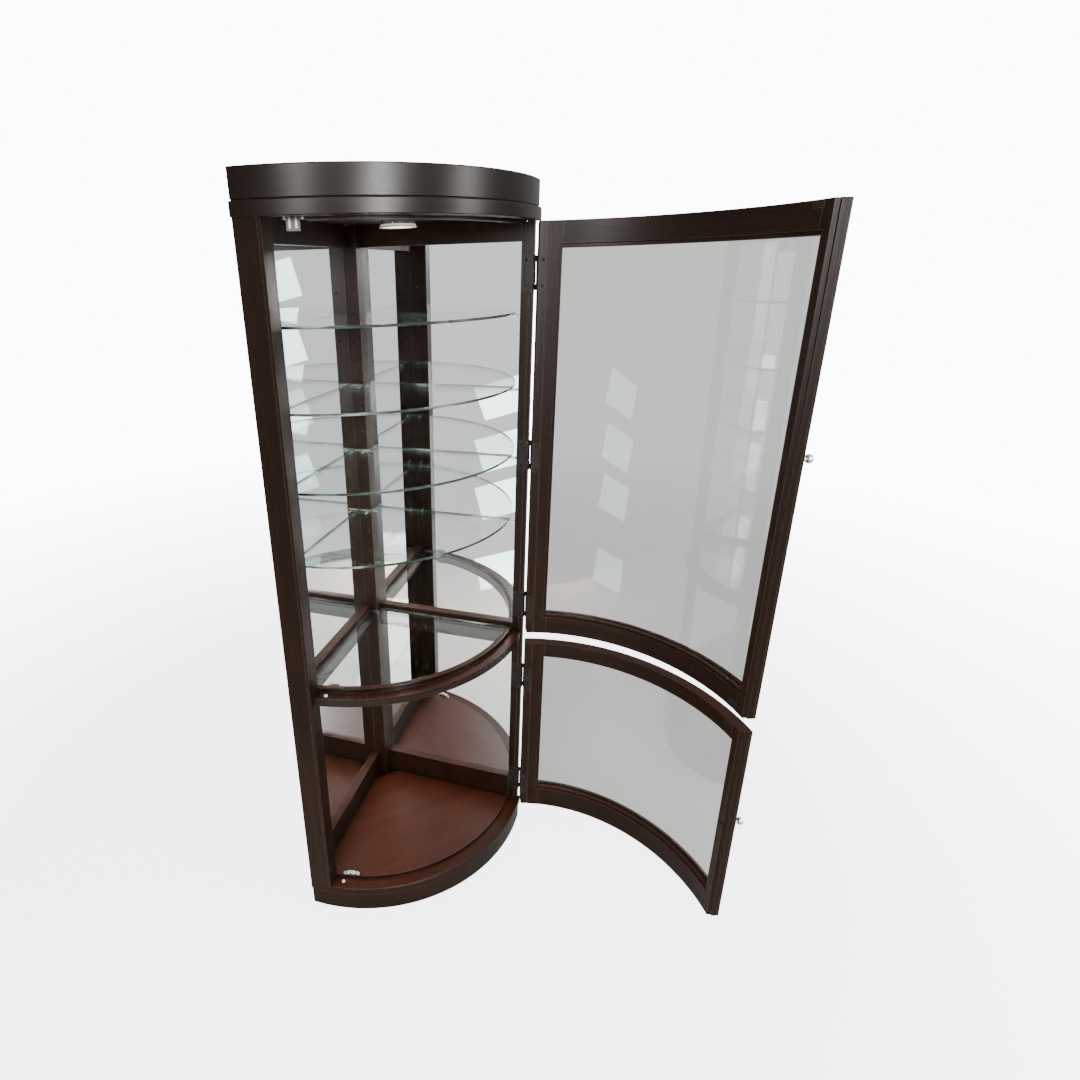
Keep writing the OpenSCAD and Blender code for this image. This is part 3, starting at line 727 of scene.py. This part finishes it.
def add_camera():
    data = bpy.data.cameras.new("camera")
    data.sensor_width = 36.0
    data.lens = CAMERA_LENS
    data.shift_x, data.shift_y = CAMERA_SHIFT
    data.clip_start = 0.02
    camera = bpy.data.objects.new("camera", data)
    turn = Matrix.Rotation(CAMERA_YAW, 4, "Z") @ Matrix.Rotation(CAMERA_PITCH, 4, "X")
    camera.matrix_world = Matrix.Translation(CAMERA_AT) @ turn @ Matrix.Rotation(CAMERA_ROLL, 4, "Z")
    bpy.context.scene.collection.objects.link(camera)
    bpy.context.scene.camera = camera


# Brightness of the empty room, as seen, through glass, in reflections and as light
BACKDROP = (12.0, 12.0, 12.0)
FLOOR_GLOW = (4.0, 4.0, 4.0)
ROOM_THROUGH_GLASS = (1.02, 1.01, 0.96)
ROOM_REFLECTED = (1.0, 1.01, 1.0)
ROOM_DIFFUSE = (0.62, 0.62, 0.62)
# The floor blends into the room between these distances
FLOOR_FADE = (1.2, 4.5)
FLOOR_SIZE = 24


def seen_directly(s):
    """1 where the camera looks with no glass in between."""
    path = s.add("LightPath")
    clear = s.mask(path.outputs["Transparent Depth"], 1.0, 0.0)
    return s.math("MULTIPLY", path.outputs["Is Camera Ray"], clear)


def room_light(s):
    """How bright the empty room is: white behind the case, light grey through its glass,
    and softer still where it only lights or is reflected."""
    path = s.add("LightPath")
    through_glass = s.mask(path.outputs["Transparent Depth"], 0.0, 1.0)
    seen = s.mix(through_glass, BACKDROP, ROOM_THROUGH_GLASS)
    lit = s.mix(path.outputs["Is Glossy Ray"], ROOM_DIFFUSE, ROOM_REFLECTED)
    return s.mix(path.outputs["Is Camera Ray"], lit, seen)


def add_floor():
    bpy.ops.mesh.primitive_plane_add(size=FLOOR_SIZE, location=(0, 0, 0))
    floor = bpy.context.object
    floor.name = "floor"
    s = Shader("floor")
    cloud = s.noise(object_vector(s), 0.8, 3.0)
    tone = s.mix(s.mask(cloud, 0.3, 0.7), (0.84, 0.84, 0.83), (0.88, 0.88, 0.87))
    lift = s.mix(seen_directly(s), (0.0, 0.0, 0.0), FLOOR_GLOW)
    near = s.add("BsdfPrincipled", {"Base Color": tone, "Roughness": 0.6, "Specular IOR Level": 0.2,
                                    "Emission Color": lift, "Emission Strength": 1.0})
    glow = s.add("Emission", {"Color": room_light(s), "Strength": 1.0})
    distance = s.add("VectorMath", {0: object_vector(s)}, operation="LENGTH").outputs["Value"]
    far = s.mask(distance, *FLOOR_FADE)
    floor.data.materials.append(s.finish(s.add("MixShader", {0: far, 1: near, 2: glow})))


def add_area(name, place, target, size, energy, colour=(1, 1, 1)):
    data = bpy.data.lights.new(name, "AREA")
    data.shape = "RECTANGLE"
    data.size, data.size_y = size
    data.energy = energy
    data.color = colour
    light = bpy.data.objects.new(name, data)
    light.location = place
    aim = Vector(target) - Vector(place)
    light.rotation_euler = aim.to_track_quat("-Z", "Y").to_euler()
    bpy.context.scene.collection.objects.link(light)
    return light


# Place, size (across and up), power and colour of each soft light
SOFT_LIGHTS = {
    "key": ((-1.6, -2.6, 3.0), (1.6, 1.2), 52, (1.0, 0.99, 0.97)),
    "fill": ((2.2, -2.4, 1.6), (1.4, 2.0), 20, (0.96, 0.98, 1.0)),
    "top": ((0.4, -0.6, 3.4), (2.4, 2.4), 34, (1.0, 1.0, 1.0)),
}
# A warm light from the floor that is not itself seen in the glass
BOUNCE = ((-0.9, -1.7, 0.25), (0.8, 0.5), 26, (1.0, 0.68, 0.52))
# Lights that only make the satin highlights along the crown
CROWN_LIGHTS = {
    "crown_front": ((-0.15, -3.6, 2.15), (0.35, 0.8), 380, (1.0, 1.0, 0.98)),
    "crown_side": ((-2.1, -2.5, 2.2), (0.25, 0.8), 105, (1.0, 1.0, 0.98)),
    "crown_right": ((2.2, -2.4, 2.15), (0.5, 0.8), 105, (1.0, 1.0, 0.98)),
}
# Small window panes where the mirrored walls send the camera's view:
# plan position, heights, size, tilt in degrees and radiance
PANE_COLOUR = (0.66, 1.0, 0.95)
PANES = {
    "left_pane": ((-0.95, -1.13), (1.08, 0.82, 0.57, 0.17), (0.34, 0.17), 18, 3.6),
    "back_pane": ((-0.42, -2.55), (1.60, 1.21, 0.80, 0.36), (0.26, 0.24), -14, 2.6),
}


def add_panes(name, place, heights, size, tilt, radiance):
    power = radiance * math.pi * size[0] * size[1]
    for number, height in enumerate(heights):
        pane = add_area(f"{name}_{number}", (*place, height), CASE_MIDDLE, size, power, PANE_COLOUR)
        pane.rotation_euler.rotate_axis("Z", math.radians(tilt))


def add_lights():
    for name, (place, size, power, colour) in SOFT_LIGHTS.items():
        add_area(name, place, CASE_MIDDLE, size, power, colour)
    for name, (place, size, power, colour) in CROWN_LIGHTS.items():
        add_area(name, place, CASE_MIDDLE, size, power, colour).visible_diffuse = False
    place, size, power, colour = BOUNCE
    add_area("bounce", place, CASE_MIDDLE, size, power, colour).visible_glossy = False
    for name, pane in PANES.items():
        add_panes(name, *pane)


def set_world():
    world = bpy.data.worlds.new("studio")
    s = Shader("studio", world)
    background = s.add("Background", {"Color": room_light(s), "Strength": 1.0})
    s.finish(background)
    bpy.context.scene.world = world


add_camera()
add_floor()
add_lights()
set_world()
